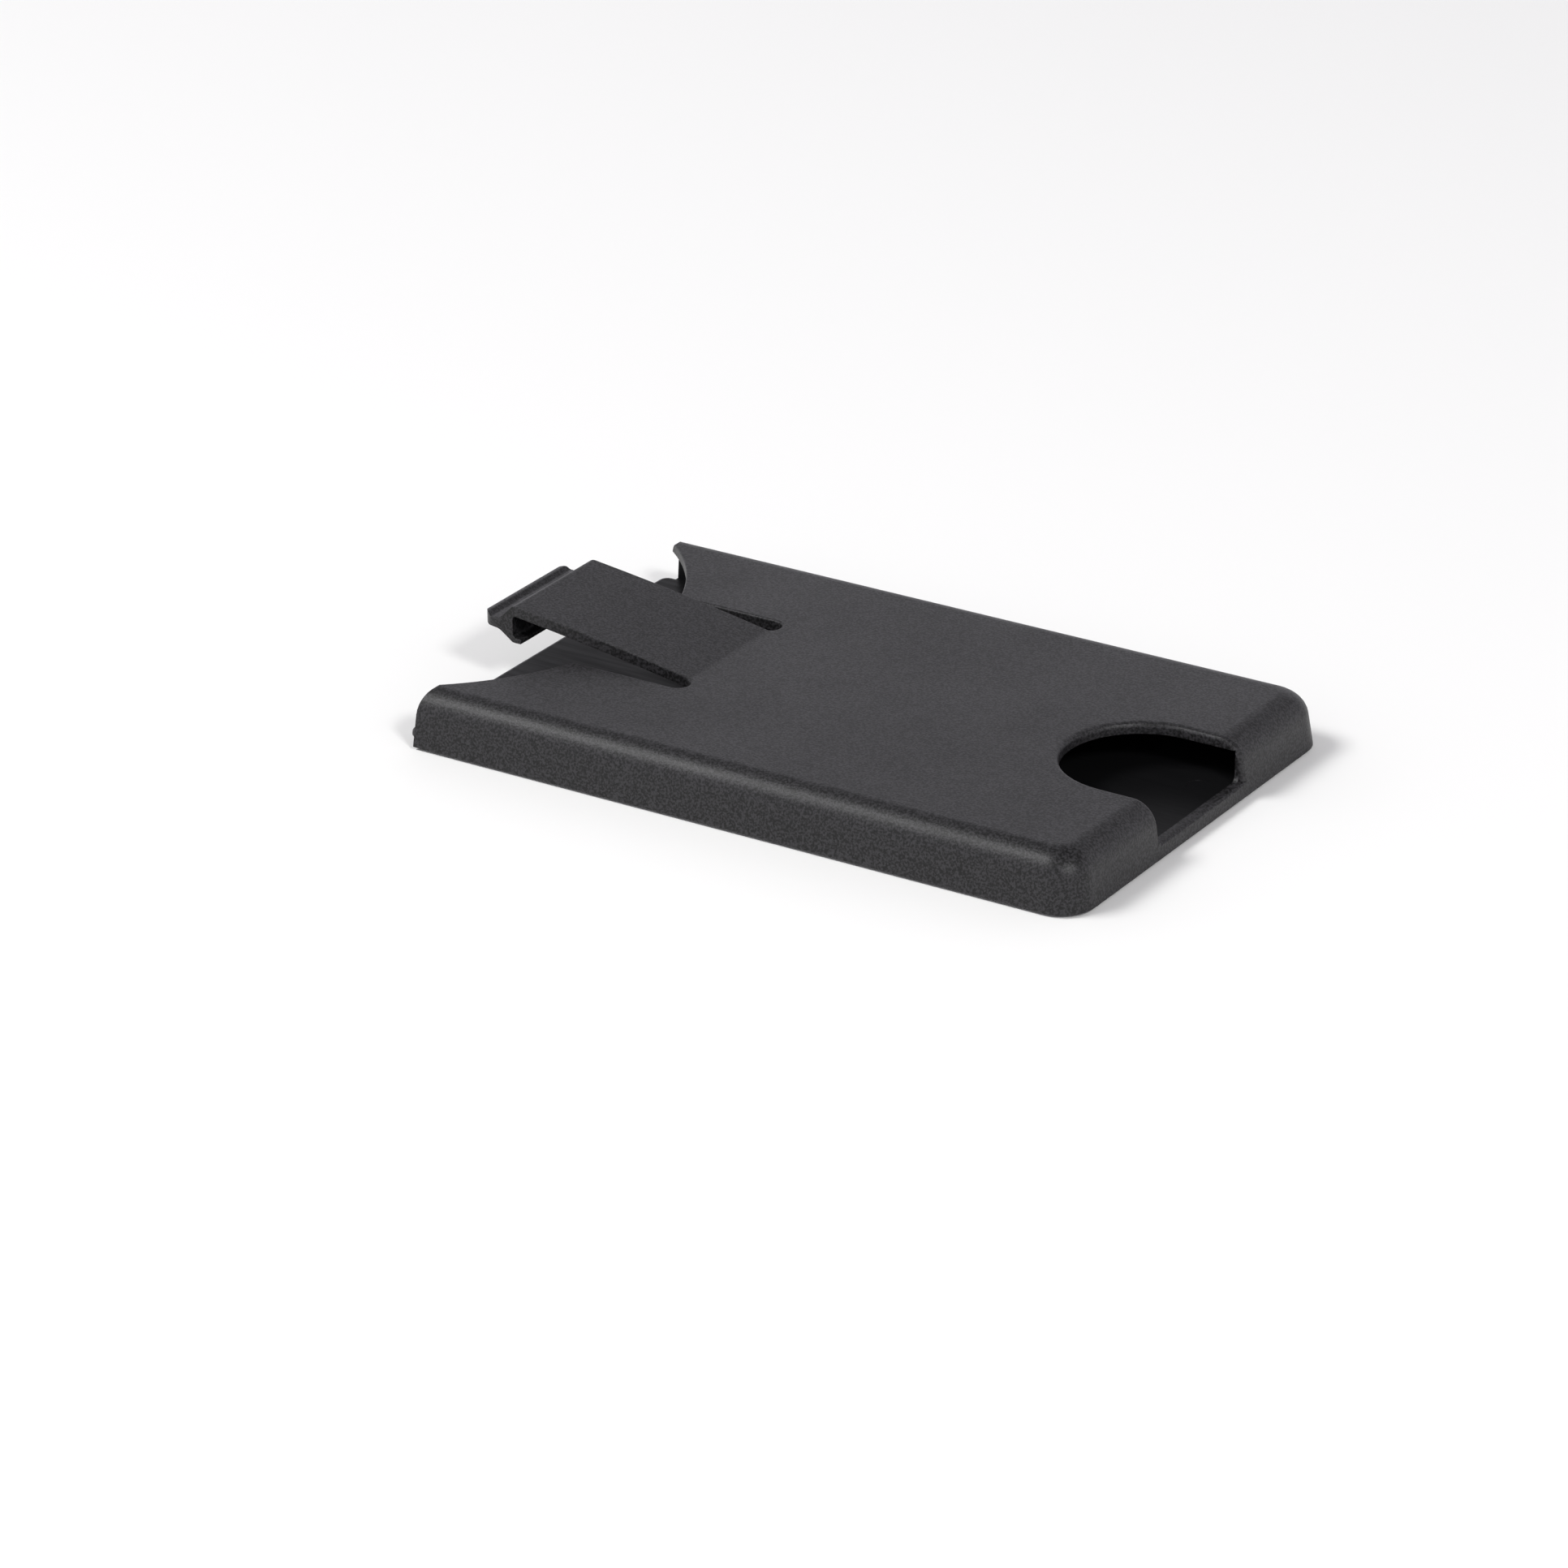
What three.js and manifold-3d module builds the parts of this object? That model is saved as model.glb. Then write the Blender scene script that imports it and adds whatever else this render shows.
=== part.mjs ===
// Stick-on phone card holder: a one-piece moulded sleeve on a thin adhesive pad.
// Units are millimetres. X runs from the open mouth (-X) to the closed end (+X),
// Y runs across the sleeve and Z points away from the phone.
// The origin is the centre of the face that sticks to the phone.
import * as THREE from 'three';
import { mergeVertices } from 'three/addons/utils/BufferGeometryUtils.js';
import Module from 'manifold-3d';

const wasm = await Module();
wasm.setup();

// Cards and the pocket that holds them
const CARD_LENGTH = 85.6;
const CARD_WIDTH = 54.0;
const CARD_THICKNESS = 0.76;
const CARD_COUNT = 5;
const CARD_SIDE_CLEARANCE = 0.3;
const CARD_STACK_CLEARANCE = 0.45;
const CARD_END_CLEARANCE = 2.7;
const POCKET_CORNER_RADIUS = 2.0;
const POCKET_ROOF_RADIUS = 1.0;

// Sleeve walls
const FLOOR_THICKNESS = 1.35;
const TOP_THICKNESS = 1.35;
const SIDE_WALL_FOOT = 1.75;
const END_WALL_FOOT = 1.5;
const WALL_DRAFT = THREE.MathUtils.degToRad(8);
const TOP_EDGE_RADIUS = 3.3;
const FOOT_EDGE_RADIUS = 0.25;
const CORNER_RADIUS_FOOT = 4.2;
const CORNER_RADIUS_TOP = 2.0;

// Adhesive pad
const PAD_THICKNESS = 0.25;
const PAD_MARGIN = 2.4;
const PAD_CORNER_RADIUS = 3.0;

// Mouth: the hollow front edge of the top, and the lip of the floor
const MOUTH_ARC_INSET = 3.1;
const MOUTH_ARC_DEPTH = 12.9;
const MOUTH_EDGE_ROUND = 0.3;
const MOUTH_LEAN = 0.4;
const HORN_RADIUS = 0.6;
const FLOOR_LIP_REACH = 2.0;
const FLOOR_LIP_CORNER_RADIUS = 1.4;

// Spring tongue between its two slits
const TONGUE_WIDTH = 17.0;
const SLIT_WIDTH = 2.9;
const SLIT_DEPTH = 26.2;
const TONGUE_ROOT_SLOPE = 0.176;
const TONGUE_TIP_SLOPE = 0.113;
const TONGUE_EDGE_ROUND = 0.12;
const TONGUE_LENGTH = 25.85;
const TONGUE_BEND_LENGTH = 1.2;
const TONGUE_ROOT_OFFSET = 0.1;

// Hook at the tongue's tip: heights are under the crease where the tongue's face ends
const HOOK_REACH = 4.45;
const HOOK_CREASE_ROUND = 0.5;
const HOOK_SLOPE_RUN = 2.05;
const HOOK_VALLEY_DEPTH = 2.05;
const HOOK_VALLEY_ROUND = 0.85;
const HOOK_LIP_RISE = 0.42;
const HOOK_LIP_WIDTH = 0.75;
const HOOK_LIP_ROUND = 0.26;
const HOOK_LIP_SLOPE = 0.4;
const HOOK_LIP_THICKNESS = 1.1;
const HOOK_LIP_LEAN = 0.15;
const HOOK_UNDER_ROUND = 0.45;
const HOOK_RAMP_DROP = 0.25;
const HOOK_RAMP_RUN = 2.4;
const HOOK_DROP = 4.8;
const HOOK_NOSE_FRONT = 0.1;
const HOOK_NOSE_LENGTH = 1.15;
const HOOK_NOSE_HEIGHT = 0.6;
const HOOK_NOSE_ROUND = 0.25;
const HOOK_THROAT_ROUND = 0.5;
const HOOK_CORNER_RADIUS = 1.6;

// Thumb opening at the closed end
const THUMB_RADIUS = 9.65;
const THUMB_REACH = 17.8;
const THUMB_EDGE_ROUND = 0.65;
const THUMB_FOOT_RADIUS = 0.8;
const THUMB_SILL_RISE = 0.5;
const THUMB_SILL_ROUND = 0.25;

// Round ejector marks on the floor
const EJECTOR_RADIUS = 1.7;
const EJECTOR_DEPTH = 0.06;
const EJECTOR_SPREAD = 7.3;
const EJECTOR_FROM_END = 3.2;

// Steps of the rounded edges
const CORNER_STEPS = 8;
const FILLET_STEPS = 8;
const EDGE_STEPS = 4;
const TONGUE_STEPS = 10;
const TONGUE_STEP_GROWTH = 1.5;

// Sizes that follow from the ones above
const pocketWidth = CARD_WIDTH + 2 * CARD_SIDE_CLEARANCE;
const pocketHeight = CARD_COUNT * CARD_THICKNESS + CARD_STACK_CLEARANCE;
const pocketLength = CARD_LENGTH + CARD_END_CLEARANCE;
const footLength = pocketLength + END_WALL_FOOT;
const footHalfWidth = pocketWidth / 2 + SIDE_WALL_FOOT;
const mouthX = -footLength / 2;
const endX = footLength / 2;
const footZ = PAD_THICKNESS;
const floorZ = footZ + FLOOR_THICKNESS;
const roofZ = floorZ + pocketHeight;
const topZ = roofZ + TOP_THICKNESS;
const pocketEndX = mouthX + pocketLength;
const tongueHalfWidth = TONGUE_WIDTH / 2;
const slitEndX = mouthX + SLIT_DEPTH;
const slitRadius = SLIT_WIDTH / 2;
const slitOuterY = tongueHalfWidth + SLIT_WIDTH;
const sillZ = floorZ + THUMB_SILL_RISE;
const mouthArcHalf = footHalfWidth - MOUTH_ARC_INSET;
const mouthArcRadius = (mouthArcHalf ** 2 + MOUTH_ARC_DEPTH ** 2) / (2 * MOUTH_ARC_DEPTH);
const archX = endX - THUMB_REACH + THUMB_RADIUS;
const tongueRootX = slitEndX - TONGUE_ROOT_OFFSET;

// The most of a side that one softened corner takes
const LONGEST_CUT = 0.45;

// How far a body runs on past a face that it is joined to or cut from
const OVERLAP = 1.5;
const FAR = 30;

// An arc of points about a centre, from one angle to another
function arc(cx, cy, radius, from, to, steps) {
  const points = [];
  for (let i = 0; i <= steps; i++) {
    const angle = from + (to - from) * (i / steps);
    points.push(new THREE.Vector2(cx + radius * Math.cos(angle), cy + radius * Math.sin(angle)));
  }
  return points;
}

// The skin between rings of equal length
function loft(rings) {
  const count = rings[0].length;
  const vertices = rings.flat().flatMap((p) => [p.x, p.y, p.z]);
  const faces = [];
  for (let r = 0; r + 1 < rings.length; r++) {
    for (let i = 0; i < count; i++) {
      const a = r * count + i;
      const b = r * count + ((i + 1) % count);
      faces.push(a, b, b + count, a, b + count, a + count);
    }
  }
  return { vertices, faces, lastRing: (rings.length - 1) * count };
}

// Levels whose outlines all run counterclockwise
function turned(levels) {
  if (!THREE.ShapeUtils.isClockWise(levels[0].outline)) return levels;
  return levels.map((level) => ({ ...level, outline: [...level.outline].reverse() }));
}

// Rings stacked upwards: each level is a plan outline and its height
function stackAlongZ(levels) {
  const rising = turned(levels);
  const rings = rising.map(({ outline, z }) => outline.map((p) => new THREE.Vector3(p.x, p.y, z)));
  return closeCaps(loft(rings), rising[0].outline);
}

// Rings stacked from +Y to -Y: each level is a side outline in X and Z and its place in Y
function stackAlongY(levels) {
  const passing = turned(levels);
  const rings = passing.map(({ outline, y }) => outline.map((p) => new THREE.Vector3(p.x, y, p.y)));
  return closeCaps(loft(rings), passing[0].outline);
}

// The solid inside a loft, with both ends capped from the flat outline of its rings
function closeCaps(body, outline) {
  for (const [a, b, c] of THREE.ShapeUtils.triangulateShape(outline, [])) {
    body.faces.push(a, c, b);
    body.faces.push(body.lastRing + a, body.lastRing + b, body.lastRing + c);
  }
  const geometry = new THREE.BufferGeometry();
  geometry.setAttribute('position', new THREE.Float32BufferAttribute(body.vertices, 3));
  geometry.setIndex(body.faces);
  return solid(geometry);
}

// A solid that can be joined and cut, from a closed three.js geometry
function solid(geometry) {
  const bare = geometry.clone();
  bare.deleteAttribute('normal');
  bare.deleteAttribute('uv');
  const merged = mergeVertices(bare, 1e-4);
  const mesh = new wasm.Mesh({
    numProp: 3,
    vertProperties: new Float32Array(merged.attributes.position.array),
    triVerts: new Uint32Array(merged.index.array),
  });
  return new wasm.Manifold(mesh);
}

// A flat outline extruded from one height to another
function prism(outline, z0, z1) {
  return stackAlongZ([{ outline, z: z0 }, { outline, z: z1 }]);
}

// The named mesh of a finished solid
function meshOf(name, body, material) {
  const result = body.getMesh();
  const geometry = new THREE.BufferGeometry();
  geometry.setAttribute('position', new THREE.Float32BufferAttribute(result.vertProperties, 3));
  geometry.setIndex([...result.triVerts]);
  geometry.computeVertexNormals();
  const mesh = new THREE.Mesh(geometry, material);
  mesh.name = name;
  return mesh;
}

// How far a round of the given radius has opened at a depth under the surface
function roundOpening(radius, depth) {
  const left = Math.max(radius - depth, 0);
  return radius - Math.sqrt(radius * radius - left * left);
}

// Centre of the wall's top round: its height, and its inset from the foot
const filletCentreZ = topZ - TOP_EDGE_RADIUS;
const filletCentreInset =
  TOP_EDGE_RADIUS / Math.cos(WALL_DRAFT) + (filletCentreZ - footZ) * Math.tan(WALL_DRAFT);

// The wall's top round moved inwards by a depth, from the drafted wall up to the top
function wallSection(depth, steps) {
  const radius = TOP_EDGE_RADIUS - depth;
  const points = [];
  for (let i = 0; i <= steps; i++) {
    const angle = WALL_DRAFT + (Math.PI / 2 - WALL_DRAFT) * (i / steps);
    points.push({
      inset: filletCentreInset - radius * Math.cos(angle),
      z: filletCentreZ + radius * Math.sin(angle),
    });
  }
  return points;
}

// Plan outline of the sleeve at an inset from its foot, open towards -X
function sleeveOutline(inset) {
  const share = inset / filletCentreInset;
  const radius = CORNER_RADIUS_FOOT + (CORNER_RADIUS_TOP - CORNER_RADIUS_FOOT) * share;
  const x = endX - inset - radius;
  const y = footHalfWidth - inset - radius;
  return [
    new THREE.Vector2(mouthX + inset * MOUTH_LEAN, -(footHalfWidth - inset)),
    ...arc(x, -y, radius, -Math.PI / 2, 0, CORNER_STEPS),
    ...arc(x, y, radius, 0, Math.PI / 2, CORNER_STEPS),
    new THREE.Vector2(mouthX + inset * MOUTH_LEAN, footHalfWidth - inset),
  ];
}

// Outer block: small foot edge, drafted walls and the broad round into the top
function outerBlock() {
  const levels = [];
  for (let i = 0; i <= EDGE_STEPS / 2; i++) {
    const rise = (FOOT_EDGE_RADIUS * i) / (EDGE_STEPS / 2);
    levels.push({
      outline: sleeveOutline(roundOpening(FOOT_EDGE_RADIUS, rise) + rise * Math.tan(WALL_DRAFT)),
      z: footZ + rise,
    });
  }
  for (const { inset, z } of wallSection(0, FILLET_STEPS)) {
    levels.push({ outline: sleeveOutline(inset), z });
  }
  return stackAlongZ(levels);
}

// Pocket for the cards: square at the floor, with small rounds along its roof
function pocket() {
  const half = pocketWidth / 2;
  const plan = [
    new THREE.Vector2(mouthX - FAR, -half),
    ...arc(pocketEndX - POCKET_CORNER_RADIUS, -half + POCKET_CORNER_RADIUS,
      POCKET_CORNER_RADIUS, -Math.PI / 2, 0, CORNER_STEPS / 2),
    ...arc(pocketEndX - POCKET_CORNER_RADIUS, half - POCKET_CORNER_RADIUS,
      POCKET_CORNER_RADIUS, 0, Math.PI / 2, CORNER_STEPS / 2),
    new THREE.Vector2(mouthX - FAR, half),
  ];
  const section = new THREE.Shape([
    new THREE.Vector2(-half, floorZ),
    new THREE.Vector2(half, floorZ),
    ...arc(half - POCKET_ROOF_RADIUS, roofZ - POCKET_ROOF_RADIUS,
      POCKET_ROOF_RADIUS, 0, Math.PI / 2, EDGE_STEPS),
    ...arc(-half + POCKET_ROOF_RADIUS, roofZ - POCKET_ROOF_RADIUS,
      POCKET_ROOF_RADIUS, Math.PI / 2, Math.PI, EDGE_STEPS),
  ]);
  const tunnel = alongX(section, mouthX - FAR, endX + FAR);
  return tunnel.intersect(prism(plan, floorZ - OVERLAP, roofZ + OVERLAP));
}

// Plan outline of the window in the top: the mouth arc, the two horns and the slit ends
function mouthOutline(open) {
  const centreX = mouthX + MOUTH_ARC_DEPTH - mouthArcRadius;
  const radius = mouthArcRadius + open;
  const horn = HORN_RADIUS - open;
  const hornY = slitOuterY + HORN_RADIUS;
  const reach = mouthArcRadius + HORN_RADIUS;
  const hornX = centreX + Math.sqrt(reach * reach - hornY * hornY);
  const hornAngle = Math.asin(hornY / reach);
  const frontAngle = Math.acos((mouthX - OVERLAP - centreX) / radius);
  const endRadius = slitRadius + open;
  const endCentreX = slitEndX - slitRadius;
  const endCentreY = slitOuterY - slitRadius;
  const half = [
    ...arc(centreX, 0, radius, frontAngle, hornAngle, 2 * CORNER_STEPS),
    ...arc(hornX, hornY, horn, hornAngle + Math.PI, 1.5 * Math.PI, EDGE_STEPS).slice(1),
    ...arc(endCentreX, endCentreY, endRadius, Math.PI / 2, 0, CORNER_STEPS / 2),
  ];
  const mirrored = half.map((p) => new THREE.Vector2(p.x, -p.y));
  return [
    new THREE.Vector2(mouthX - FAR, half[0].y),
    ...half,
    ...mirrored.reverse(),
    new THREE.Vector2(mouthX - FAR, -half[0].y),
  ];
}

// Plan outline of one slit, on the side given by +1 or -1
function slitOutline(side, open) {
  const radius = slitRadius + open;
  const y = side * (slitOuterY - slitRadius);
  return [
    new THREE.Vector2(mouthX - FAR, y - radius),
    ...arc(slitEndX - slitRadius, y, radius, -Math.PI / 2, Math.PI / 2, CORNER_STEPS),
    new THREE.Vector2(mouthX - FAR, y + radius),
  ];
}

// A cut straight down from above, opening out in a round at the top surface
function roundedCut(outlineAt, radius, z0) {
  const levels = [{ outline: outlineAt(0), z: z0 }];
  for (let i = 0; i <= EDGE_STEPS; i++) {
    const depth = radius * (1 - i / EDGE_STEPS);
    levels.push({ outline: outlineAt(roundOpening(radius, depth)), z: topZ - depth });
  }
  levels.push({ outline: outlineAt(radius), z: topZ + FAR });
  return stackAlongZ(levels);
}

// Inset of the drafted wall at a height below its top round
function wallInset(z) {
  return (z - footZ) * Math.tan(WALL_DRAFT);
}

// Round arch of the thumb opening, cut down through the top
function thumbArch() {
  const outlineAt = (open) => [
    ...arc(archX, 0, THUMB_RADIUS + open, Math.PI / 2, 1.5 * Math.PI, 3 * CORNER_STEPS),
    new THREE.Vector2(archX + OVERLAP, -THUMB_RADIUS - open),
    new THREE.Vector2(archX + OVERLAP, THUMB_RADIUS + open),
  ];
  return roundedCut(outlineAt, THUMB_EDGE_ROUND, sillZ + OVERLAP);
}

// Lower end of the thumb opening's section, with both corners rounded
function gateFeet(half, low) {
  const y = half - THUMB_FOOT_RADIUS;
  const z = low + THUMB_FOOT_RADIUS;
  return [
    ...arc(-y, z, THUMB_FOOT_RADIUS, Math.PI, 1.5 * Math.PI, EDGE_STEPS),
    ...arc(y, z, THUMB_FOOT_RADIUS, 1.5 * Math.PI, 2 * Math.PI, EDGE_STEPS),
  ];
}

// Straight run of the thumb opening through the end wall, rounded where it meets the outside
function thumbGate() {
  const outlineAt = (depth) => [
    ...wallSection(depth, FILLET_STEPS).map(({ inset, z }) => new THREE.Vector2(endX - inset, z)),
    new THREE.Vector2(archX, topZ - depth),
    new THREE.Vector2(archX, topZ + FAR),
    new THREE.Vector2(endX + FAR, topZ + FAR),
    new THREE.Vector2(endX + FAR, sillZ),
    new THREE.Vector2(endX - wallInset(sillZ) - depth / Math.cos(WALL_DRAFT), sillZ),
  ];
  const levels = [];
  for (let i = 0; i <= EDGE_STEPS; i++) {
    const depth = (THUMB_EDGE_ROUND * i) / EDGE_STEPS;
    levels.push({ outline: outlineAt(depth), y: THUMB_RADIUS + roundOpening(THUMB_EDGE_ROUND, depth) });
  }
  const mirrored = levels.map(({ outline, y }) => ({ outline, y: -y })).reverse();
  const flare = stackAlongY([...levels, ...mirrored]);
  const section = new THREE.Shape([
    ...gateFeet(THUMB_RADIUS, sillZ),
    new THREE.Vector2(THUMB_RADIUS, topZ + FAR),
    new THREE.Vector2(-THUMB_RADIUS, topZ + FAR),
  ]);
  return flare.add(alongX(section, archX, endX + FAR)).add(thumbThreshold());
}

// Lower part of the thumb opening, which opens out over the sill and the feet of its jambs
function thumbThreshold() {
  const outlineAt = (open) => {
    const half = THUMB_RADIUS + open;
    const low = sillZ - (open * THUMB_SILL_ROUND) / THUMB_EDGE_ROUND;
    return [
      new THREE.Vector2(-half, filletCentreZ),
      ...gateFeet(half, low),
      new THREE.Vector2(half, filletCentreZ),
    ];
  };
  const ringAt = (depth, open) => {
    const back = depth / Math.cos(WALL_DRAFT);
    return outlineAt(open).map((p) => new THREE.Vector3(endX - wallInset(p.y) - back, p.x, p.y));
  };
  const rings = [];
  for (let i = 0; i <= EDGE_STEPS; i++) {
    const depth = THUMB_EDGE_ROUND * (1 - i / EDGE_STEPS);
    rings.push(ringAt(depth, roundOpening(THUMB_EDGE_ROUND, depth)));
  }
  rings.push(ringAt(-OVERLAP, THUMB_EDGE_ROUND));
  return closeCaps(loft(rings), outlineAt(0));
}

// A shape drawn in Y and Z, extruded along X
function alongX(section, x0, x1) {
  const bar = new THREE.ExtrudeGeometry(section, { depth: x1 - x0, bevelEnabled: false });
  bar.rotateX(Math.PI / 2);
  bar.rotateZ(Math.PI / 2);
  bar.translate(x0, 0, 0);
  return solid(bar);
}

// Height of the tongue's upper face above the top, at a distance from its root
function tongueRise(s) {
  const blend = Math.min(s, TONGUE_BEND_LENGTH);
  const bend = (TONGUE_ROOT_SLOPE * blend * blend) / (2 * TONGUE_BEND_LENGTH);
  const run = Math.max(s - TONGUE_BEND_LENGTH, 0);
  const fall = (TONGUE_ROOT_SLOPE - TONGUE_TIP_SLOPE) / (2 * TONGUE_LENGTH);
  return bend + TONGUE_ROOT_SLOPE * run - fall * run * run;
}

// A run of corners with each one softened: a corner is cut back by its own distance along both
// sides, but by less than half of a short side
function softened(corners) {
  const points = [];
  corners.forEach(({ at, cut }, i) => {
    if (cut === 0) {
      points.push(at);
      return;
    }
    const back = corners[i - 1].at.clone().sub(at);
    const on = corners[i + 1].at.clone().sub(at);
    const distance = Math.min(cut, LONGEST_CUT * back.length(), LONGEST_CUT * on.length());
    const start = at.clone().add(back.setLength(distance));
    const end = at.clone().add(on.setLength(distance));
    points.push(...new THREE.QuadraticBezierCurve(start, at, end).getPoints(EDGE_STEPS));
  });
  return points;
}

// Side outline of the hook: over the crease, down into the valley, round the lip, under to the nose
// and back up its inner face to the underside of the tongue
function hookOutline(crease, slope) {
  const corner = (forwards, down, cut) => {
    const at = new THREE.Vector2(crease.x - forwards, crease.y - down);
    return { at, cut };
  };
  const under = HOOK_VALLEY_DEPTH + HOOK_LIP_THICKNESS;
  const topOfLip = HOOK_VALLEY_DEPTH - HOOK_LIP_RISE;
  return softened([
    corner(-2 * HOOK_CREASE_ROUND, 2 * HOOK_CREASE_ROUND * slope, 0),
    corner(0, 0, HOOK_CREASE_ROUND),
    corner(HOOK_SLOPE_RUN, HOOK_VALLEY_DEPTH, HOOK_VALLEY_ROUND),
    corner(HOOK_REACH - HOOK_LIP_WIDTH - HOOK_LIP_SLOPE, HOOK_VALLEY_DEPTH, HOOK_LIP_ROUND),
    corner(HOOK_REACH - HOOK_LIP_WIDTH, topOfLip, HOOK_LIP_ROUND),
    corner(HOOK_REACH, topOfLip, HOOK_LIP_ROUND),
    corner(HOOK_REACH - HOOK_LIP_LEAN, under, HOOK_UNDER_ROUND),
    corner(HOOK_REACH - HOOK_RAMP_RUN, under + HOOK_RAMP_DROP, HOOK_UNDER_ROUND),
    corner(HOOK_NOSE_FRONT, HOOK_DROP, HOOK_NOSE_ROUND),
    corner(-HOOK_NOSE_LENGTH, HOOK_DROP, HOOK_NOSE_ROUND),
    corner(-HOOK_NOSE_LENGTH, HOOK_DROP - HOOK_NOSE_HEIGHT, HOOK_NOSE_ROUND),
    corner(0, HOOK_DROP - HOOK_NOSE_HEIGHT, HOOK_THROAT_ROUND),
    corner(0, TOP_THICKNESS, HOOK_THROAT_ROUND),
    corner(-2 * HOOK_THROAT_ROUND, TOP_THICKNESS + 2 * HOOK_THROAT_ROUND * slope, 0),
  ]);
}

// Side outline of the whole tongue, from inside the top to the hook and back
function tongueOutline() {
  const upper = [new THREE.Vector2(tongueRootX + OVERLAP, topZ)];
  const lower = [new THREE.Vector2(tongueRootX + OVERLAP, roofZ)];
  const last = TONGUE_LENGTH - 2 * Math.max(HOOK_CREASE_ROUND, HOOK_THROAT_ROUND);
  for (let i = 0; i < TONGUE_STEPS; i++) {
    const s = last * (i / TONGUE_STEPS) ** TONGUE_STEP_GROWTH;
    upper.push(new THREE.Vector2(tongueRootX - s, topZ + tongueRise(s)));
    lower.push(new THREE.Vector2(tongueRootX - s, roofZ + tongueRise(s)));
  }
  const crease = new THREE.Vector2(tongueRootX - TONGUE_LENGTH, topZ + tongueRise(TONGUE_LENGTH));
  const slope = (tongueRise(TONGUE_LENGTH) - tongueRise(last)) / (TONGUE_LENGTH - last);
  return [...upper, ...hookOutline(crease, slope), ...lower.reverse()];
}

// An outline drawn in by a small distance all round
function shrink(outline, distance) {
  const count = outline.length;
  const normal = (a, b) => new THREE.Vector2(b.y - a.y, a.x - b.x).normalize();
  return outline.map((p, i) => {
    const before = normal(outline[(i + count - 1) % count], p);
    const after = normal(p, outline[(i + 1) % count]);
    const mitre = before.clone().add(after).normalize();
    const stretch = 1 / Math.max(mitre.dot(after), 0.5);
    return p.clone().addScaledVector(mitre, -distance * stretch);
  });
}

// Spring tongue with its hook, rounded along its long edges and at its front corners
function tongue() {
  const outline = tongueOutline();
  const levels = [];
  for (let i = 0; i <= EDGE_STEPS; i++) {
    const depth = (TONGUE_EDGE_ROUND * i) / EDGE_STEPS;
    levels.push({
      outline: shrink(outline, roundOpening(TONGUE_EDGE_ROUND, depth)),
      y: tongueHalfWidth - depth,
    });
  }
  const mirrored = levels.map((level) => ({ outline: level.outline, y: -level.y })).reverse();
  const blade = stackAlongY([...levels, ...mirrored]);
  const frontX = tongueRootX - TONGUE_LENGTH - HOOK_REACH;
  const half = tongueHalfWidth;
  const plan = [
    new THREE.Vector2(slitEndX + OVERLAP, -half),
    new THREE.Vector2(slitEndX + OVERLAP, half),
    ...arc(frontX + HOOK_CORNER_RADIUS, half - HOOK_CORNER_RADIUS,
      HOOK_CORNER_RADIUS, Math.PI / 2, Math.PI, CORNER_STEPS),
    ...arc(frontX + HOOK_CORNER_RADIUS, -half + HOOK_CORNER_RADIUS,
      HOOK_CORNER_RADIUS, Math.PI, 1.5 * Math.PI, CORNER_STEPS),
  ];
  return blade.intersect(prism(plan, floorZ, topZ + FAR));
}

// Root of the tongue: a short width of bent top between the round ends of the slits
function tongueRoot() {
  const rootEnd = slitEndX - slitRadius;
  const half = slitOuterY - slitRadius;
  const reach = tongueRootX - rootEnd;
  const upper = [new THREE.Vector2(tongueRootX + OVERLAP, topZ)];
  const lower = [new THREE.Vector2(tongueRootX + OVERLAP, roofZ)];
  for (let i = 0; i <= EDGE_STEPS; i++) {
    const s = (reach * i) / EDGE_STEPS;
    upper.push(new THREE.Vector2(tongueRootX - s, topZ + tongueRise(s)));
    lower.push(new THREE.Vector2(tongueRootX - s, roofZ + tongueRise(s)));
  }
  const outline = [...upper, ...lower.reverse()];
  let root = stackAlongY([{ outline, y: half }, { outline, y: -half }]);
  for (const side of [-1, 1]) {
    root = root.subtract(roundedCut((open) => slitOutline(side, open), MOUTH_EDGE_ROUND, floorZ));
  }
  return root;
}

// Lip of the floor, which stands out past the mouth with a half-round front
function floorLip() {
  const half = pocketWidth / 2;
  const round = FLOOR_THICKNESS / 2;
  const outlineAt = (inset) => {
    const radius = FLOOR_LIP_CORNER_RADIUS - inset;
    const x = mouthX - FLOOR_LIP_REACH + FLOOR_LIP_CORNER_RADIUS;
    const y = half - FLOOR_LIP_CORNER_RADIUS;
    return [
      new THREE.Vector2(mouthX + OVERLAP, -half + inset),
      new THREE.Vector2(mouthX + OVERLAP, half - inset),
      ...arc(x, y, radius, Math.PI / 2, Math.PI, EDGE_STEPS),
      ...arc(x, -y, radius, Math.PI, 1.5 * Math.PI, EDGE_STEPS),
    ];
  };
  const levels = [];
  for (let i = 0; i <= 2 * EDGE_STEPS; i++) {
    const angle = -Math.PI / 2 + (Math.PI * i) / (2 * EDGE_STEPS);
    levels.push({
      outline: outlineAt(round * (1 - Math.cos(angle))),
      z: floorZ - round + round * Math.sin(angle),
    });
  }
  return stackAlongZ(levels);
}

// Shallow round marks that the ejector pins leave on the floor
function ejectorMarks() {
  const x = pocketEndX - EJECTOR_FROM_END;
  const mark = (y) => prism(arc(x, y, EJECTOR_RADIUS, 0, 2 * Math.PI, 3 * CORNER_STEPS).slice(1),
    floorZ - EJECTOR_DEPTH, floorZ + OVERLAP);
  return mark(-EJECTOR_SPREAD).add(mark(EJECTOR_SPREAD));
}

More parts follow.
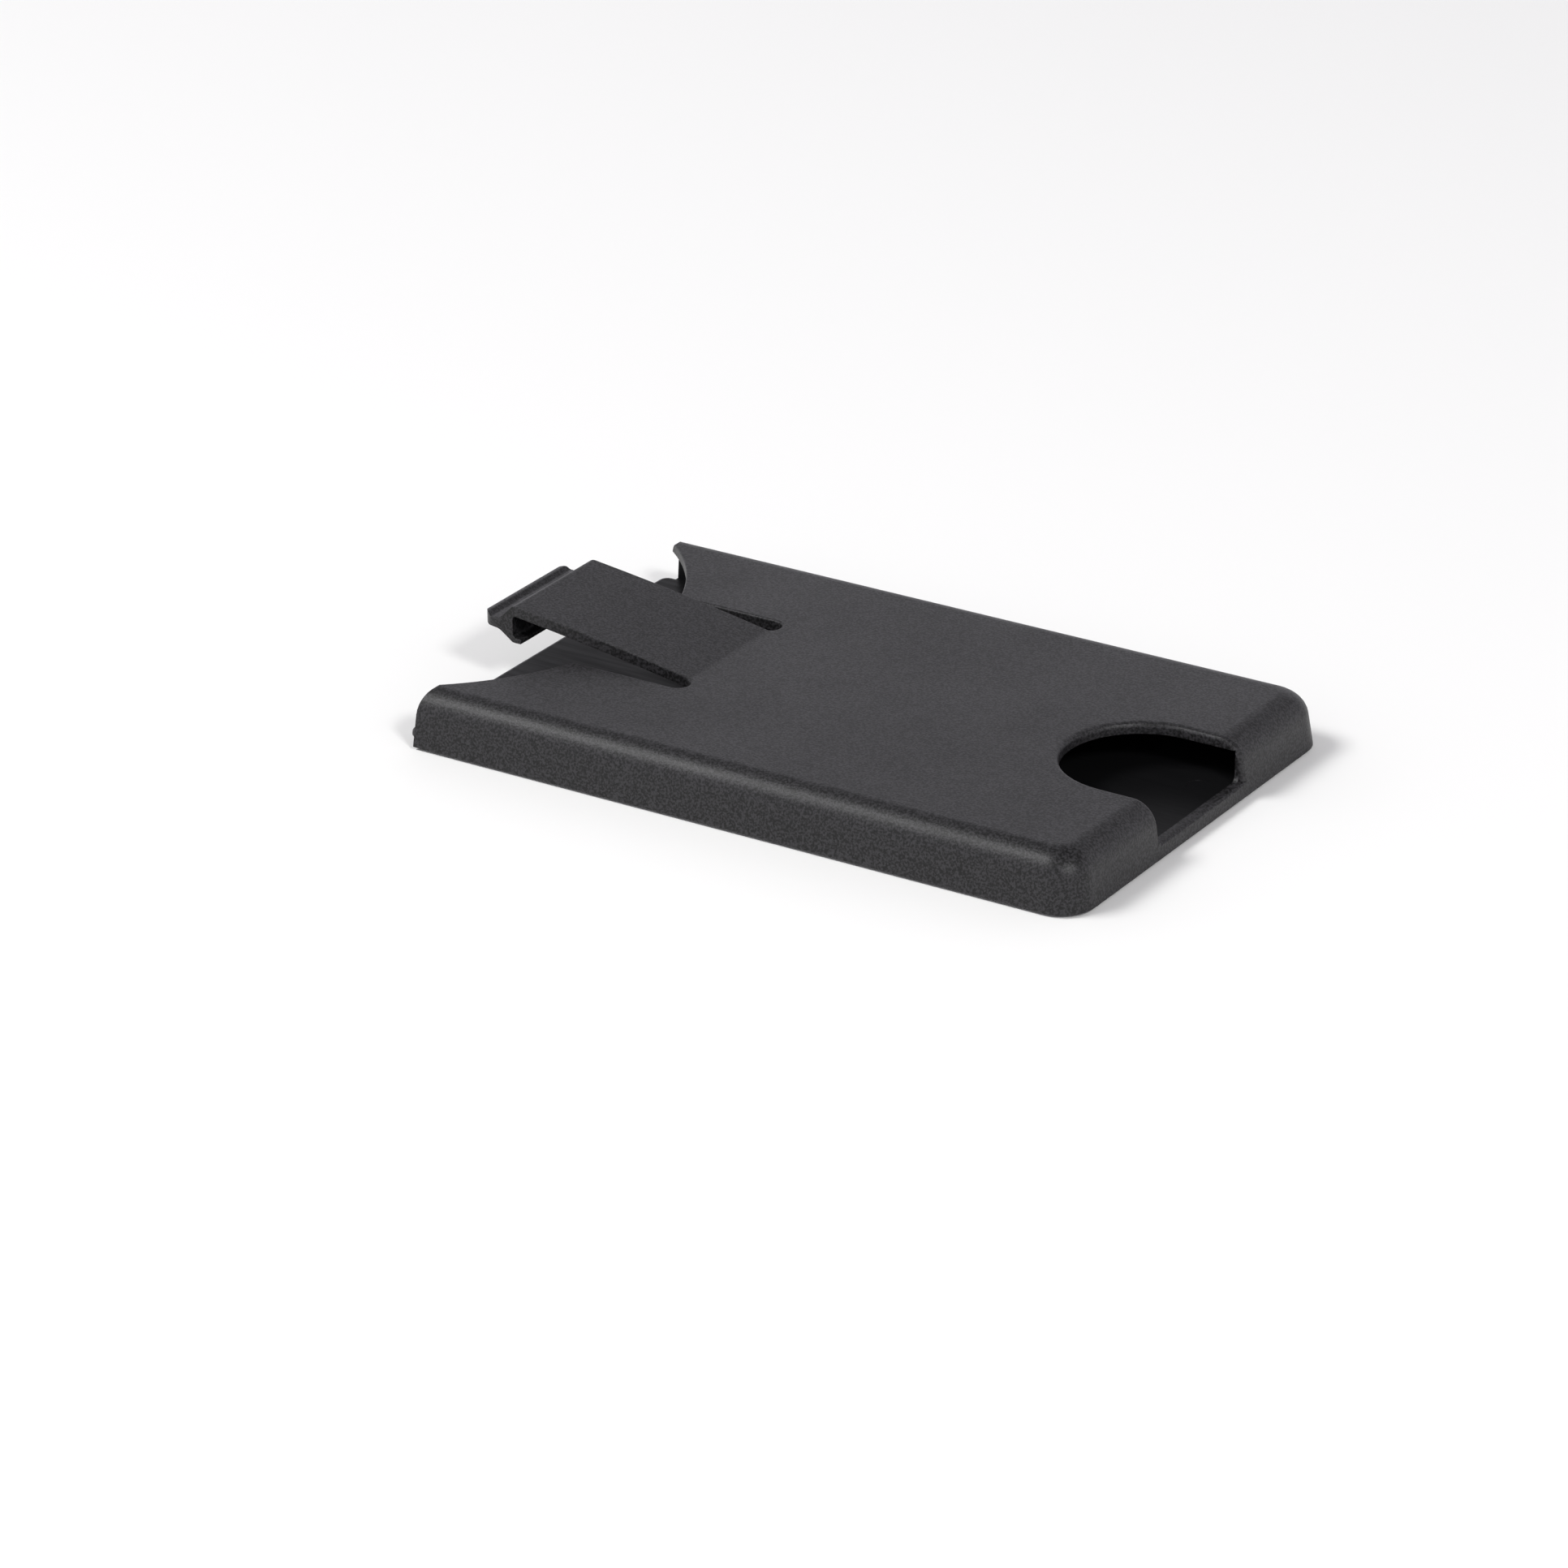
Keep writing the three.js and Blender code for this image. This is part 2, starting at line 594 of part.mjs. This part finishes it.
// The adhesive pad under the sleeve
function adhesivePad() {
  const x = footLength / 2 - PAD_MARGIN - PAD_CORNER_RADIUS;
  const y = footHalfWidth - PAD_MARGIN - PAD_CORNER_RADIUS;
  const outline = [
    ...arc(x, y, PAD_CORNER_RADIUS, 0, Math.PI / 2, CORNER_STEPS),
    ...arc(-x, y, PAD_CORNER_RADIUS, Math.PI / 2, Math.PI, CORNER_STEPS),
    ...arc(-x, -y, PAD_CORNER_RADIUS, Math.PI, 1.5 * Math.PI, CORNER_STEPS),
    ...arc(x, -y, PAD_CORNER_RADIUS, 1.5 * Math.PI, 2 * Math.PI, CORNER_STEPS),
  ];
  return prism(outline, 0, PAD_THICKNESS);
}

// The moulded sleeve, in the order that its form is built up
function sleeve() {
  return outerBlock()
    .subtract(pocket())
    .subtract(roundedCut(mouthOutline, MOUTH_EDGE_ROUND, floorZ))
    .subtract(thumbArch())
    .subtract(thumbGate())
    .subtract(ejectorMarks())
    .add(tongueRoot())
    .add(tongue())
    .add(floorLip());
}

const sleevePlastic = new THREE.MeshStandardMaterial({ color: 0x3a393c, roughness: 0.62, metalness: 0 });
const padTape = new THREE.MeshStandardMaterial({ color: 0x1c1c1d, roughness: 0.9, metalness: 0 });

const holder = new THREE.Group();
holder.add(meshOf('sleeve', sleeve(), sleevePlastic));
holder.add(meshOf('adhesive_pad', adhesivePad(), padTape));
export default holder;
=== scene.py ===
"""Stick-on phone card holder: finish, floor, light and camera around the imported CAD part.

Everything is in metres, in the CAD frame: X runs from the open mouth (-X) to the closed end (+X),
Y across the sleeve, and Z away from the adhesive face.
"""

import math

import bmesh
import bpy
import mathutils
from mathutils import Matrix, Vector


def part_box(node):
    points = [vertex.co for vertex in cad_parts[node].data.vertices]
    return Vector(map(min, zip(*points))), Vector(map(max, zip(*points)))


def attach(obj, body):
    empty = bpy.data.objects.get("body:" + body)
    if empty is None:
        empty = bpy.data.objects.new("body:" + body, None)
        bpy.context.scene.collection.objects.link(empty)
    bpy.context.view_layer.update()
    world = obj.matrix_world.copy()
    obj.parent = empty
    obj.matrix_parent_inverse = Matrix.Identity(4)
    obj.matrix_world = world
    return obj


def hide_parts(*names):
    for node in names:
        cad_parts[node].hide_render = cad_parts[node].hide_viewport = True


bl_info = {
    "name": "Stick-on card holder",
    "version": (1, 0, 0),
    "blender": (4, 5, 0),
    "location": "3D View > Sidebar > Card holder",
    "description": "Finishes and stages a moulded card holder around its CAD part",
    "category": "Object",
}

MM = 0.001

# Triangles that turn less than this lie on one flat face, and edges that turn more stay sharp
FLAT_ANGLE = math.radians(0.2)
CREASE_ANGLE = math.radians(28)

# Vertices of the CAD mesh that are closer than this are one vertex
MERGE_DISTANCE = 0.001 * MM

# Most of a noise texture's values lie between these two
NOISE_LOW = 0.35
NOISE_HIGH = 0.65

# Heights of a line of sight, from 0 level to 1 straight up, between which the backdrop darkens
BACKDROP_TOP = 0.35
CEILING_START = 0.75

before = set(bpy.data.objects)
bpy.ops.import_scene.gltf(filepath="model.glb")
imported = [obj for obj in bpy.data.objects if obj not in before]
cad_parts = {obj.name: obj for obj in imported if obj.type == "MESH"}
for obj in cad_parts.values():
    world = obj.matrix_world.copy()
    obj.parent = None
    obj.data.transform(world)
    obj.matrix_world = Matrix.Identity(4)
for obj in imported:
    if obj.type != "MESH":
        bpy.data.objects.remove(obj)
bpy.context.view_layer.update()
sleeve_low, sleeve_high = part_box("sleeve")

# How far inside the sleeve's box the pocket's box lies, along, across and up, at its lowest and its
# highest corner. The sleeve's box reaches up to the top of the raised tongue, and the pocket's box
# ends just above the pocket's roof, where the tongue starts to rise.
POCKET_INSET_LOW = mathutils.Vector((1.07, 1.61, 1.25)) * MM
POCKET_INSET_HIGH = mathutils.Vector((1.41, 1.61, 4.952)) * MM

# How far back from the sleeve's foremost edge the hook's lip is rubbed
RUBBED_LENGTH = 2.07 * MM


def linear_colour(code):
    """An sRGB hex colour as linear red, green, blue and full alpha."""
    channels = [int(code[i:i + 2], 16) / 255 for i in (1, 3, 5)]
    curve = [c / 12.92 if c <= 0.04045 else ((c + 0.055) / 1.055) ** 2.4 for c in channels]
    return (*curve, 1.0)


def add_node(tree, kind, settings=None, **inputs):
    """Adds a shader node, gives it its settings, and sets or links its inputs by name."""
    node = tree.nodes.new(kind)
    for name, value in (settings or {}).items():
        setattr(node, name, value)
    for name, value in inputs.items():
        socket = node.inputs[name.replace("_", " ")]
        if isinstance(value, bpy.types.NodeSocket):
            tree.links.new(value, socket)
        else:
            socket.default_value = value
    return node


def new_material(name):
    """An empty node material with its output node."""
    material = bpy.data.materials.new(name)
    material.use_nodes = True
    tree = material.node_tree
    tree.nodes.clear()
    return material, tree, add_node(tree, "ShaderNodeOutputMaterial")


def spark_eroded_abs(look):
    """Black ABS, injection moulded against a spark-eroded steel face.

    The mould leaves a fine even grit that breaks the highlight on every edge into a soft sparkle.
    The real grit is about 0.1 mm across, too fine to show, so it is drawn coarser. Use has rubbed
    the hook's lip smoother than the rest.
    """
    material, tree, output = new_material("black_abs_spark_eroded")
    place = add_node(tree, "ShaderNodeTexCoord").outputs["Object"]
    grit = add_node(tree, "ShaderNodeTexNoise", Vector=place, Scale=1 / look.grain_size, Detail=2.0,
                    Roughness=0.6)
    tone = add_node(tree, "ShaderNodeValToRGB", Fac=grit.outputs["Fac"])
    pit, top = tone.color_ramp.elements
    pit.position = look.pit_level
    pit.color = linear_colour(look.pit_colour)
    top.position = look.top_level
    top.color = linear_colour(look.plastic_colour)
    patches = add_node(tree, "ShaderNodeTexNoise", Vector=place, Scale=1 / look.patch_size, Detail=2.0)
    gloss = add_node(tree, "ShaderNodeMapRange", Value=patches.outputs["Fac"],
                     From_Min=NOISE_LOW, From_Max=NOISE_HIGH,
                     To_Min=look.roughness - look.roughness_spread,
                     To_Max=look.roughness + look.roughness_spread)
    along = add_node(tree, "ShaderNodeSeparateXYZ", Vector=place).outputs["X"]
    rubbed = add_node(tree, "ShaderNodeMapRange", Value=along, From_Min=look.rubbed_from,
                      From_Max=look.rubbed_from - look.rubbed_run, To_Min=0.0, To_Max=1.0)
    finish = add_node(tree, "ShaderNodeMix", {"data_type": "FLOAT"}, Factor=rubbed.outputs["Result"],
                      A=gloss.outputs["Result"], B=look.rubbed_roughness)
    relief = add_node(tree, "ShaderNodeBump", Height=grit.outputs["Fac"], Strength=look.grain_strength,
                      Distance=look.grain_depth)
    surface = add_node(tree, "ShaderNodeBsdfPrincipled", Base_Color=tone.outputs["Color"],
                       Roughness=finish.outputs["Result"], IOR=look.ior,
                       Normal=relief.outputs["Normal"])
    tree.links.new(surface.outputs["BSDF"], output.inputs["Surface"])
    return material


def core_polish_and_painted_shade(look):
    """The same black ABS where it was moulded against the polished core that forms the pocket.

    It has no grit, only faint lines along the pocket from the polishing. Its colour is darker and its
    IOR lower than the outer plastic's: this is painted shade for the shade that falls inside the
    pocket, and it keeps the pocket a deep black between the grained outer faces. The real lines are
    too fine to show and are drawn coarser.
    """
    material, tree, output = new_material("black_abs_polished_core_painted_shade")
    place = add_node(tree, "ShaderNodeTexCoord").outputs["Object"]
    drawn = add_node(tree, "ShaderNodeMapping", Vector=place, Scale=(look.polish_stretch, 1.0, 1.0))
    lines = add_node(tree, "ShaderNodeTexNoise", Vector=drawn.outputs["Vector"],
                     Scale=1 / look.polish_spacing, Detail=2.0)
    gloss = add_node(tree, "ShaderNodeMapRange", Value=lines.outputs["Fac"],
                     From_Min=NOISE_LOW, From_Max=NOISE_HIGH,
                     To_Min=look.core_roughness - look.core_spread,
                     To_Max=look.core_roughness + look.core_spread)
    relief = add_node(tree, "ShaderNodeBump", Height=lines.outputs["Fac"], Strength=0.25,
                      Distance=look.polish_depth)
    # The darker colour and lowered IOR paint the shade that falls inside the pocket
    surface = add_node(tree, "ShaderNodeBsdfPrincipled", Base_Color=linear_colour(look.core_painted_shade_colour),
                       Roughness=gloss.outputs["Result"], IOR=look.core_painted_shade_ior,
                       Normal=relief.outputs["Normal"])
    tree.links.new(surface.outputs["BSDF"], output.inputs["Surface"])
    return material


def acrylic_foam_tape(look):
    """Black acrylic foam tape, slit and die cut: soft, dull and slightly pitted at its cut edge.

    The real cells are too fine to show, so they are drawn coarser.
    """
    material, tree, output = new_material("black_acrylic_foam_tape")
    place = add_node(tree, "ShaderNodeTexCoord").outputs["Object"]
    cells = add_node(tree, "ShaderNodeTexVoronoi", Vector=place, Scale=1 / look.cell_size)
    tone = add_node(tree, "ShaderNodeValToRGB", Fac=cells.outputs["Distance"])
    cell, wall = tone.color_ramp.elements
    cell.color = linear_colour(look.cell_colour)
    wall.color = linear_colour(look.tape_colour)
    relief = add_node(tree, "ShaderNodeBump", Height=cells.outputs["Distance"], Strength=0.4,
                      Distance=look.cell_depth)
    surface = add_node(tree, "ShaderNodeBsdfPrincipled", Base_Color=tone.outputs["Color"],
                       Roughness=0.85, IOR=1.47, Normal=relief.outputs["Normal"])
    tree.links.new(surface.outputs["BSDF"], output.inputs["Surface"])
    return material


def merged_copy(node_name, piece_name):
    """A copy of a CAD node with its triangles joined into one smooth skin, creased at its edges."""
    mesh = bpy.data.meshes.new(piece_name)
    skin = bmesh.new()
    skin.from_mesh(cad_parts[node_name].data)
    bmesh.ops.remove_doubles(skin, verts=skin.verts, dist=MERGE_DISTANCE)
    bmesh.ops.dissolve_limit(skin, angle_limit=FLAT_ANGLE, verts=skin.verts, edges=skin.edges)
    for face in skin.faces:
        face.smooth = True
    for edge in skin.edges:
        edge.smooth = edge.calc_face_angle(math.pi) < CREASE_ANGLE
    skin.to_mesh(mesh)
    skin.free()
    piece = bpy.data.objects.new(piece_name, mesh)
    bpy.context.collection.objects.link(piece)
    return piece


class SleeveLook(bpy.types.PropertyGroup):
    """Finish of the moulded sleeve."""
    plastic_colour: bpy.props.StringProperty(
        name="Plastic colour", description="sRGB hex of the grit's tops", default="#2E2D2F")
    pit_colour: bpy.props.StringProperty(
        name="Pit colour", description="sRGB hex at the bottom of the grit", default="#0B0B0B")
    pit_level: bpy.props.FloatProperty(
        name="Pit level", description="Noise value at which the grit is as dark as its pits",
        default=0.42, min=0, max=1, subtype="FACTOR")
    top_level: bpy.props.FloatProperty(
        name="Top level", description="Noise value at which the grit is as light as its tops",
        default=0.6, min=0, max=1, subtype="FACTOR")
    roughness: bpy.props.FloatProperty(
        name="Roughness", description="Mean roughness of the plastic", default=0.46, min=0, max=1,
        subtype="FACTOR")
    roughness_spread: bpy.props.FloatProperty(
        name="Roughness spread", description="How far patches are rougher or smoother than the mean",
        default=0.02, min=0, max=1, subtype="FACTOR")
    ior: bpy.props.FloatProperty(
        name="IOR", description="Index of refraction, lowered from the 1.5 of ABS to match the object",
        default=1.39, min=1, max=2)
    rubbed_roughness: bpy.props.FloatProperty(
        name="Rubbed roughness", description="Roughness of the hook's lip, which use has polished",
        default=0.3, min=0, max=1, subtype="FACTOR")
    rubbed_from: bpy.props.FloatProperty(
        name="Rubbed from", description="Where along the tongue the polished lip starts",
        default=sleeve_low.x + RUBBED_LENGTH, subtype="DISTANCE", unit="LENGTH", precision=5)
    rubbed_run: bpy.props.FloatProperty(
        name="Rubbed run", description="Length over which the polish sets in", default=0.5 * MM,
        subtype="DISTANCE", unit="LENGTH", precision=5)
    grain_size: bpy.props.FloatProperty(
        name="Grain size", description="Spacing of the mould's grit, drawn coarse enough to show",
        default=0.28 * MM, subtype="DISTANCE", unit="LENGTH")
    grain_depth: bpy.props.FloatProperty(
        name="Grain depth", description="Height of the grit", default=0.06 * MM, subtype="DISTANCE",
        unit="LENGTH", precision=5)
    grain_strength: bpy.props.FloatProperty(
        name="Grain strength", description="Share of the grit's height that tilts the surface",
        default=0.55, min=0, max=1, subtype="FACTOR")
    # The core's darker colour and lowered IOR are painted shade for the inside of the pocket
    core_painted_shade_colour: bpy.props.StringProperty(
        name="Core painted shade colour", description="sRGB hex of the smooth faces in the pocket", default="#0F0F10")
    core_roughness: bpy.props.FloatProperty(
        name="Core roughness", description="Mean roughness of the faces in the pocket", default=0.48,
        min=0, max=1, subtype="FACTOR")
    core_spread: bpy.props.FloatProperty(
        name="Core spread", description="How far the polishing lines are rougher or smoother",
        default=0.04, min=0, max=1, subtype="FACTOR")
    core_painted_shade_ior: bpy.props.FloatProperty(
        name="Core IOR", description="Index of refraction, lowered further to match the pocket's black",
        default=1.22, min=1, max=2)
    polish_spacing: bpy.props.FloatProperty(
        name="Polish spacing", description="Spacing of the core's drawn polishing lines",
        default=0.6 * MM, subtype="DISTANCE", unit="LENGTH", precision=5)
    polish_depth: bpy.props.FloatProperty(
        name="Polish depth", description="Depth of the polishing lines", default=0.02 * MM,
        subtype="DISTANCE", unit="LENGTH", precision=5)
    polish_stretch: bpy.props.FloatProperty(
        name="Polish stretch", description="Spacing across the lines as a share of their length",
        default=0.08, min=0, max=1, subtype="FACTOR")
    pocket_low: bpy.props.FloatVectorProperty(
        name="Pocket low", description="Lowest corner of the box that holds the pocket's faces", size=3,
        default=tuple(sleeve_low + POCKET_INSET_LOW), subtype="TRANSLATION", unit="LENGTH", precision=5)
    pocket_high: bpy.props.FloatVectorProperty(
        name="Pocket high", description="Highest corner of the box that holds the pocket's faces", size=3,
        default=tuple(sleeve_high - POCKET_INSET_HIGH), subtype="TRANSLATION", unit="LENGTH",
        precision=5)
    patch_size: bpy.props.FloatProperty(
        name="Patch size", description="Spacing of the slight changes in gloss", default=12 * MM,
        subtype="DISTANCE", unit="LENGTH")


class PadLook(bpy.types.PropertyGroup):
    """Finish of the adhesive pad."""
    tape_colour: bpy.props.StringProperty(
        name="Tape colour", description="sRGB hex of the tape", default="#242425")
    cell_colour: bpy.props.StringProperty(
        name="Cell colour", description="sRGB hex inside the foam's cells", default="#151516")
    cell_size: bpy.props.FloatProperty(
        name="Cell size", description="Spacing of the foam's cells", default=0.3 * MM,
        subtype="DISTANCE", unit="LENGTH", precision=5)
    cell_depth: bpy.props.FloatProperty(
        name="Cell depth", description="Depth of the cut cells", default=0.075 * MM,
        subtype="DISTANCE", unit="LENGTH", precision=5)


class StageLook(bpy.types.PropertyGroup):
    """Floor, lamps and camera."""
    floor_colour: bpy.props.StringProperty(
        name="Floor colour", description="sRGB hex of the floor", default="#F5F5F3")
    floor_size: bpy.props.FloatProperty(
        name="Floor size", description="Length of the floor's sides", default=6.0,
        subtype="DISTANCE", unit="LENGTH")
    backdrop_colour: bpy.props.StringProperty(
        name="Backdrop colour", description="sRGB hex of the backdrop and the ceiling",
        default="#FAF8FF")
    backdrop_strength: bpy.props.FloatProperty(
        name="Backdrop strength", description="Brightness of the backdrop all round", default=1.0)
    ceiling_strength: bpy.props.FloatProperty(
        name="Ceiling strength", description="Brightness of the ceiling", default=0.15)
    key_place: bpy.props.FloatVectorProperty(
        name="Key place", description="Where the key softbox hangs, high in front of the mouth", size=3,
        default=(-0.78, -0.62, 1.18), subtype="TRANSLATION", unit="LENGTH")
    key_size: bpy.props.FloatVectorProperty(
        name="Key size", description="Width and height of the key softbox", size=2,
        default=(0.7, 0.5), subtype="XYZ_LENGTH", unit="LENGTH")
    key_power: bpy.props.FloatProperty(
        name="Key power", description="Power of the key softbox", default=15.5, subtype="POWER",
        unit="POWER")
    corner_place: bpy.props.FloatVectorProperty(
        name="Corner place", description="Where the small softbox for the near corner hangs", size=3,
        default=(0.95, -0.53, 0.93), subtype="TRANSLATION", unit="LENGTH")
    corner_size: bpy.props.FloatVectorProperty(
        name="Corner size", description="Width and height of the small softbox", size=2,
        default=(0.25, 0.25), subtype="XYZ_LENGTH", unit="LENGTH")
    corner_power: bpy.props.FloatProperty(
        name="Corner power", description="Power of the small softbox", default=8.0, subtype="POWER",
        unit="POWER")
    sensor: bpy.props.FloatProperty(
        name="Sensor", description="Width of the camera's sensor in millimetres", default=36.0,
        subtype="DISTANCE_CAMERA", unit="CAMERA")
    lens: bpy.props.FloatProperty(
        name="Lens", description="Focal length in millimetres, as fitted to the photo",
        default=153.729, subtype="DISTANCE_CAMERA", unit="CAMERA")
    camera_place: bpy.props.FloatVectorProperty(
        name="Camera place", description="Where the camera stands", size=3,
        default=(0.3782513, -0.6064822, 0.3227671), subtype="TRANSLATION", unit="LENGTH")
    camera_turn: bpy.props.FloatVectorProperty(
        name="Camera turn", description="How the camera is turned", size=3,
        default=tuple(math.radians(a) for a in (65.37189, 0.43061, 32.55987)), subtype="EULER")


class CARDHOLDER_OT_sleeve(bpy.types.Operator):
    """Finishes the moulded sleeve with its spring tongue"""
    bl_idname = "cardholder.sleeve"
    bl_label = "Moulded sleeve"

    def execute(self, context):
        look = context.scene.sleeve_look
        piece = merged_copy("sleeve", "moulded_sleeve")
        evened = piece.modifiers.new("even_shading", "WEIGHTED_NORMAL")
        evened.keep_sharp = True
        piece.data.materials.append(spark_eroded_abs(look))
        piece.data.materials.append(core_polish_and_painted_shade(look))
        low = mathutils.Vector(look.pocket_low)
        high = mathutils.Vector(look.pocket_high)
        middle = (low + high) / 2
        # Faces inside the pocket take the darker core material, which paints the shade in the pocket
        for face in piece.data.polygons:
            held = all(a <= place <= b for a, place, b in zip(low, face.center, high))
            looks_in = face.normal.dot(face.center - middle) < 0
            face.material_index = int(held and looks_in)
        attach(piece, "root")
        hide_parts("sleeve")
        return {"FINISHED"}


class CARDHOLDER_OT_pad(bpy.types.Operator):
    """Finishes the adhesive pad under the sleeve"""
    bl_idname = "cardholder.pad"
    bl_label = "Adhesive pad"

    def execute(self, context):
        look = context.scene.pad_look
        piece = merged_copy("adhesive_pad", "adhesive_tape_pad")
        piece.data.materials.append(acrylic_foam_tape(look))
        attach(piece, "root")
        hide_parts("adhesive_pad")
        return {"FINISHED"}


def add_softbox(name, place, size, power):
    """A rectangular lamp that faces the object at the origin."""
    lamp = bpy.data.lights.new(name, "AREA")
    lamp.shape = "RECTANGLE"
    lamp.size, lamp.size_y = size
    lamp.energy = power
    stand = bpy.data.objects.new(name, lamp)
    stand.location = place
    x, y, z = place
    stand.rotation_euler = (math.atan2(math.hypot(x, y), z), 0, math.atan2(-y, -x) - math.pi / 2)
    bpy.context.collection.objects.link(stand)


def pale_floor(look):
    """White matt card, which keeps the object's soft shadow."""
    material, tree, output = new_material("pale_matt_card")
    surface = add_node(tree, "ShaderNodeBsdfPrincipled", Base_Color=linear_colour(look.floor_colour),
                       Roughness=0.8, IOR=1.4)
    tree.links.new(surface.outputs["BSDF"], output.inputs["Surface"])
    return material


def add_floor(look):
    """A large flat sheet under the object."""
    sheet = bmesh.new()
    bmesh.ops.create_grid(sheet, x_segments=1, y_segments=1, size=look.floor_size / 2)
    mesh = bpy.data.meshes.new("floor")
    sheet.to_mesh(mesh)
    sheet.free()
    mesh.materials.append(pale_floor(look))
    floor = bpy.data.objects.new("floor", mesh)
    bpy.context.collection.objects.link(floor)


def add_backdrop(look):
    """A studio that is white all round and darkens towards its ceiling."""
    world = bpy.data.worlds.new("studio")
    world.use_nodes = True
    tree = world.node_tree
    tree.nodes.clear()
    sight = add_node(tree, "ShaderNodeTexCoord").outputs["Generated"]
    height = add_node(tree, "ShaderNodeSeparateXYZ", Vector=sight).outputs["Z"]
    fall = add_node(tree, "ShaderNodeMapRange", Value=height, From_Min=BACKDROP_TOP,
                    From_Max=CEILING_START, To_Min=look.backdrop_strength,
                    To_Max=look.ceiling_strength)
    air = add_node(tree, "ShaderNodeBackground", Color=linear_colour(look.backdrop_colour),
                   Strength=fall.outputs["Result"])
    add_node(tree, "ShaderNodeOutputWorld", Surface=air.outputs["Background"])
    bpy.context.scene.world = world


def add_camera(look):
    """The camera at the photo's viewpoint."""
    eye = bpy.data.cameras.new("photo_camera")
    eye.lens = look.lens
    eye.sensor_width = look.sensor
    eye.clip_start = 10 * MM
    camera = bpy.data.objects.new("photo_camera", eye)
    camera.location = look.camera_place
    camera.rotation_euler = look.camera_turn
    bpy.context.collection.objects.link(camera)
    bpy.context.scene.camera = camera


class CARDHOLDER_OT_stage(bpy.types.Operator):
    """Sets the floor, the soft lamps and the camera"""
    bl_idname = "cardholder.stage"
    bl_label = "Floor, lamps and camera"

    def execute(self, context):
        look = context.scene.stage_look
        add_floor(look)
        add_backdrop(look)
        add_softbox("key_softbox", look.key_place, look.key_size, look.key_power)
        add_softbox("corner_softbox", look.corner_place, look.corner_size, look.corner_power)
        add_camera(look)
        context.scene.view_settings.view_transform = "Standard"
        return {"FINISHED"}


class CARDHOLDER_PT_pieces(bpy.types.Panel):
    """Lists the pieces and their settings"""
    bl_idname = "CARDHOLDER_PT_pieces"
    bl_label = "Card holder"
    bl_space_type = "VIEW_3D"
    bl_region_type = "UI"
    bl_category = "Card holder"

    def draw(self, context):
        for operator, group in STEPS:
            self.layout.operator(operator.bl_idname)
            look = getattr(context.scene, group)
            for name in look.__annotations__:
                self.layout.prop(look, name)


STEPS = (
    (CARDHOLDER_OT_sleeve, "sleeve_look"),
    (CARDHOLDER_OT_pad, "pad_look"),
    (CARDHOLDER_OT_stage, "stage_look"),
)
GROUPS = {"sleeve_look": SleeveLook, "pad_look": PadLook, "stage_look": StageLook}
CLASSES = (*GROUPS.values(), *(operator for operator, _ in STEPS), CARDHOLDER_PT_pieces)


def register():
    """Registers the classes and hangs the settings on the scene."""
    for item in CLASSES:
        bpy.utils.register_class(item)
    for name, group in GROUPS.items():
        setattr(bpy.types.Scene, name, bpy.props.PointerProperty(type=group))


def unregister():
    """Takes the settings and the classes away again."""
    for name in GROUPS:
        delattr(bpy.types.Scene, name)
    for item in reversed(CLASSES):
        bpy.utils.unregister_class(item)


def main():
    """Builds every piece and the stage."""
    register()
    bpy.ops.cardholder.sleeve()
    bpy.ops.cardholder.pad()
    bpy.ops.cardholder.stage()


if __name__ == "__main__":
    main()
